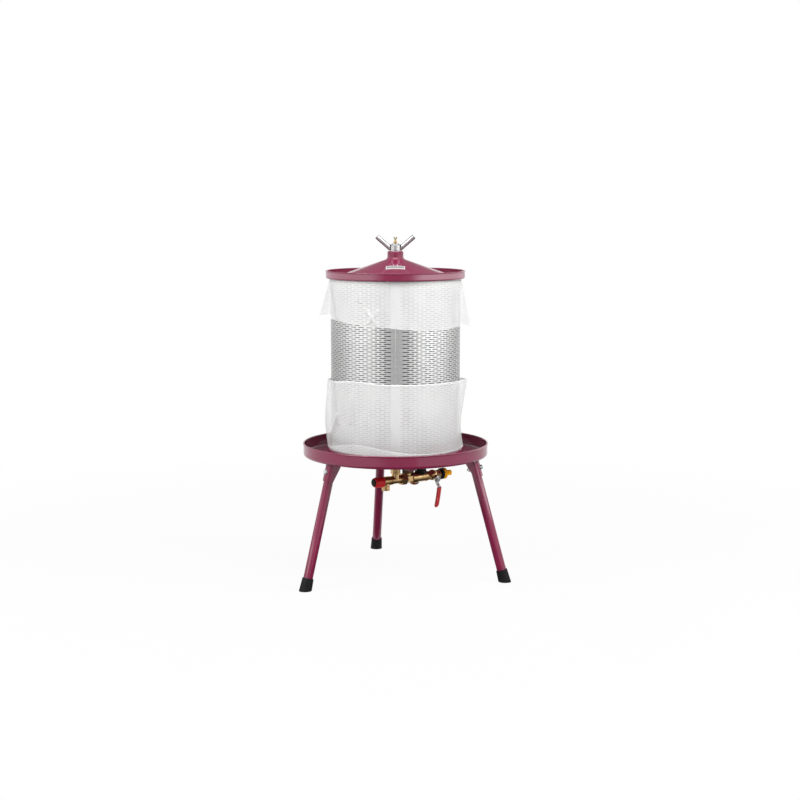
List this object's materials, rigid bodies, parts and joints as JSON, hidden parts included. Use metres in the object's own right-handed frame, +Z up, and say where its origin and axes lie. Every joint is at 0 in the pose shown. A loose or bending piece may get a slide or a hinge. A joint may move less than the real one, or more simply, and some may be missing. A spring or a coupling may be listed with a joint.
{
  "type": "hydraulic fruit press",
  "caption": "Water-driven bladder fruit press: slotted basket with filter cloth in a round juice tray on splayed legs, conical clamped lid and a brass water manifold underneath.",
  "frame": {"origin": "on the floor under the press axis", "axes": "+Z up along the press axis, -Y to the front with the plate, the basket seam and the juice spout, +X to the right"},
  "size_m": [0.5607, 0.5712, 0.9179],
  "materials": {
    "burgundy_paint": "glossy burgundy powder coat",
    "foot_rubber": "moulded matte rubber",
    "zinc_steel": "bright zinc plate",
    "stainless_sheet": "slotted stainless sheet",
    "stainless_core": "plain stainless",
    "bladder_rubber": "smooth food-grade rubber",
    "filter_cloth": "sheer white woven polyester",
    "blank_plate": "blank plate with a raised edge",
    "cast_brass": "turned and cast brass",
    "red_plastic": "moulded",
    "red_vinyl": "dipped vinyl",
    "dark_red_plastic": "moulded",
    "black_plastic": "moulded",
    "yellow_plastic": "moulded",
    "white_seal": "turned sealing plastic"
  },
  "bodies": {
    "stand": {"tray": "burgundy_paint", "juice_spout": "burgundy_paint", "leg_bracket_rear": "burgundy_paint", "leg_bracket_left": "burgundy_paint", "leg_bracket_right": "burgundy_paint", "leg_rear": "burgundy_paint", "leg_left": "burgundy_paint", "leg_right": "burgundy_paint", "foot_rear": "foot_rubber", "foot_left": "foot_rubber", "foot_right": "foot_rubber", "leg_bolts": "zinc_steel", "leg_nuts": "zinc_steel", "leg_washers": "zinc_steel", "core_pipe": "stainless_core", "core_gasket": "bladder_rubber", "core_washer": "zinc_steel", "core_locknut": "zinc_steel", "core_stud": "zinc_steel", "vent_body": "cast_brass", "bladder": "bladder_rubber", "bladder_clamps": "zinc_steel", "pipe_adapter": "cast_brass", "manifold_tee": "cast_brass", "union_nut": "cast_brass", "hex_nipple": "cast_brass", "port_cap": "cast_brass", "relief_body": "cast_brass", "relief_spring": "stainless_core", "limiter_body": "cast_brass", "limiter_bonnet": "black_plastic", "limiter_spring": "stainless_core", "drain_plug": "dark_red_plastic", "valve_body": "cast_brass", "valve_seats": "white_seal", "connector_ring": "black_plastic", "hose_connector": "yellow_plastic"},
    "lever_set": {"valve_ball": "stainless_core", "valve_stem": "zinc_steel", "valve_lever": "zinc_steel", "lever_grip": "red_vinyl", "lever_nut": "zinc_steel"},
    "relief_knob": {"relief_cap": "red_plastic", "relief_tip": "black_plastic"},
    "relief_poppet": {"relief_disc": "zinc_steel"},
    "limiter_slider": {"limiter_piston": "cast_brass"},
    "vent_tap": {"vent_key": "cast_brass"},
    "basket_set": {"basket": "stainless_sheet", "basket_hoops": "stainless_sheet", "basket_seam": "stainless_sheet", "press_bag": "filter_cloth", "splash_sleeve": "filter_cloth"},
    "lid_set": {"lid": "burgundy_paint", "lid_boss": "burgundy_paint", "nameplate": "blank_plate"},
    "nut_rider": {"thrust_washer": "zinc_steel"},
    "wing_nut": {"wing_nut_hub": "zinc_steel", "wing_nut_arms": "zinc_steel"}
  },
  "joints": [
    {"name": "basket_lift", "type": "slide", "parent": "stand", "child": "basket_set", "axis": [0, 0, 1], "range_m": [0, 0.58]},
    {"name": "lid_lift", "type": "slide", "parent": "basket_set", "child": "lid_set", "axis": [0, 0, 1], "range_m": [0, 0.12]},
    {"name": "nut_travel", "type": "slide", "parent": "lid_set", "child": "nut_rider", "axis": [0, 0, 1], "range_m": [0, 0.0125]},
    {"name": "nut_turn", "type": "hinge", "parent": "nut_rider", "child": "wing_nut", "pos_m": [0, 0, 0.885], "axis": [0, 0, 1], "range_deg": [0, 1800]},
    {"name": "lever_turn", "type": "hinge", "parent": "stand", "child": "lever_set", "pos_m": [0.10165, 0.07942, 0.257], "axis": [0.5785, -0.7405, -0.342], "range_deg": [0, 82]},
    {"name": "relief_turn", "type": "hinge", "parent": "stand", "child": "relief_knob", "pos_m": [-0.04649, -0.03632, 0.257], "axis": [-0.788, -0.6157, 0], "range_deg": [0, 90]},
    {"name": "relief_lift", "type": "slide", "parent": "stand", "child": "relief_poppet", "axis": [-0.788, -0.6157, 0], "range_m": [0, 0.002], "deforming": ["relief_spring"]},
    {"name": "limiter_slide", "type": "slide", "parent": "stand", "child": "limiter_slider", "axis": [0, 0, 1], "range_m": [0, 0.002], "stiffness_N_per_m": 3000, "springref_m": -0.002, "deforming": ["limiter_spring"]},
    {"name": "vent_turn", "type": "hinge", "parent": "stand", "child": "vent_tap", "pos_m": [0, 0, 0.905], "axis": [0, 0, 1], "range_deg": [0, 90]}
  ],
  "couplings": [
    {"joint": "nut_travel", "follows": "nut_turn", "m_per_rad": 0.00039789},
    {"joint": "relief_lift", "follows": "relief_turn", "m_per_rad": 0.0012732}
  ]
}
